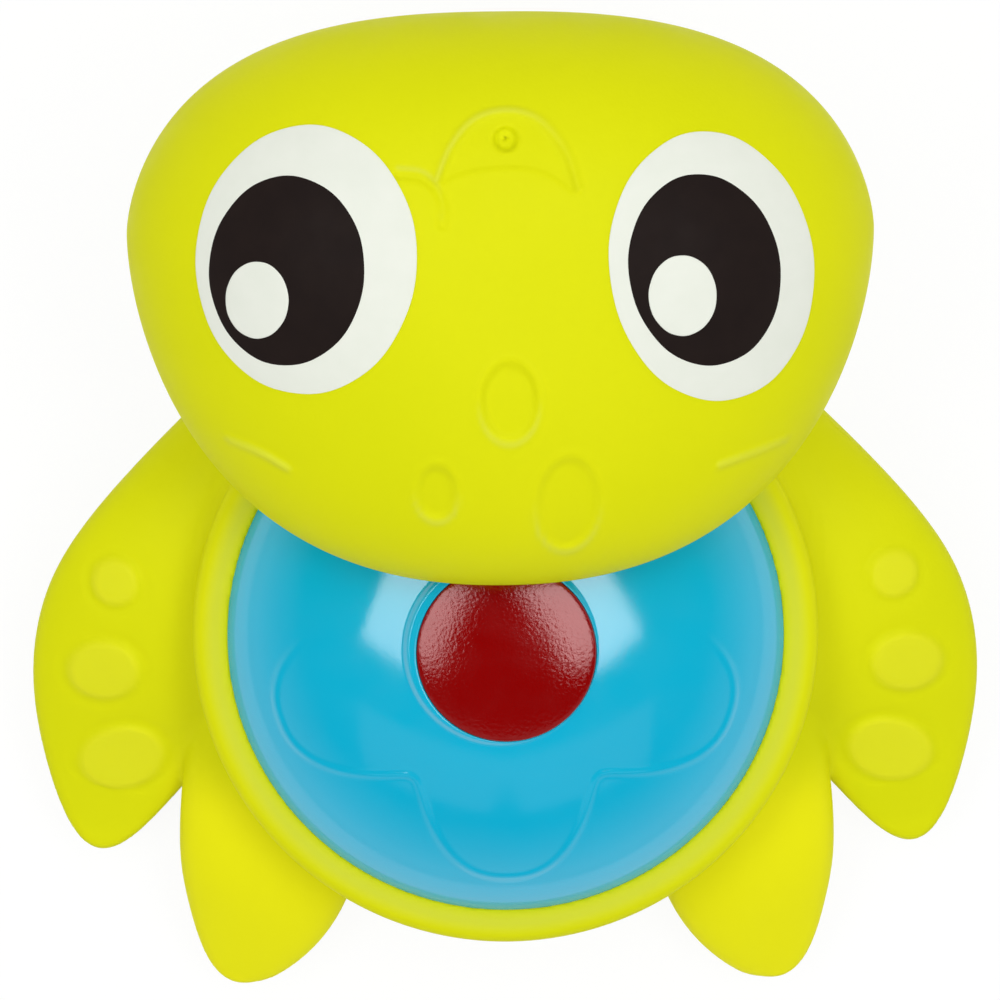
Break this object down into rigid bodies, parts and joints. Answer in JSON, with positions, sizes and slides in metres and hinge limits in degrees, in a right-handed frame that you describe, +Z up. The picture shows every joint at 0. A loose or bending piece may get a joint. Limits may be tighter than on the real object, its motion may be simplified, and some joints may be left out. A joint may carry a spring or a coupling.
{
  "type": "squeaky bath toy",
  "caption": "Squeaky turtle bath toy with a wide turning head, flippers and a hard shell with a press button over a bellows squeaker.",
  "frame": {"origin": "on the flat belly face, straight below the middle of the shell", "axes": "+Y forward to the head, +Z up, +X to the right of the picture, which looks down on the toy"},
  "size_m": [0.0972, 0.1027, 0.0587],
  "materials": {
    "soft_lime": "satin soft vinyl, lime",
    "shell_blue": "glossy moulded plastic, sky blue",
    "button_red": "glossy moulded plastic, dark red",
    "eye_white": "smooth printed off-white",
    "eye_black": "smooth printed near-black",
    "plain_plastic": "natural white moulded plastic",
    "bellows_rubber": "dark soft rubber",
    "seal_rubber": "grey soft rubber",
    "reed_brass": "thin rolled brass"
  },
  "bodies": {
    "casing": {"body_casing": "soft_lime", "shell_dome": "shell_blue", "shell_seal": "seal_rubber", "neck_connector": "plain_plastic", "bellows": "bellows_rubber", "bellows_clamp": "plain_plastic", "squeaker_housing": "plain_plastic", "reed_block": "plain_plastic", "reed_clip": "plain_plastic", "sound_grille": "plain_plastic"},
    "head": {"head_shell": "soft_lime", "left_eye_white": "eye_white", "right_eye_white": "eye_white", "left_pupil": "eye_black", "right_pupil": "eye_black", "left_eye_glint": "eye_white", "right_eye_glint": "eye_white"},
    "button": {"button_cap": "button_red", "button_plunger": "plain_plastic"},
    "tongue": {"reed": "reed_brass"}
  },
  "joints": [
    {"name": "head_turn", "type": "hinge", "parent": "casing", "child": "head", "pos_m": [0, 0.0445, 0.0239], "axis": [0, 0, 1], "range_deg": [-10, 10]},
    {"name": "button_press", "type": "slide", "parent": "casing", "child": "button", "axis": [0, 0, -1], "range_m": [0, 0.0025], "stiffness_N_per_m": 400, "springref_m": -0.0005, "deforming": ["bellows"]},
    {"name": "reed_flex", "type": "hinge", "parent": "casing", "child": "tongue", "pos_m": [0.00082, 0, 0.0104], "axis": [0, -1, 0], "range_deg": [0, 4], "stiffness_Nm_per_rad": 0.00002}
  ]
}
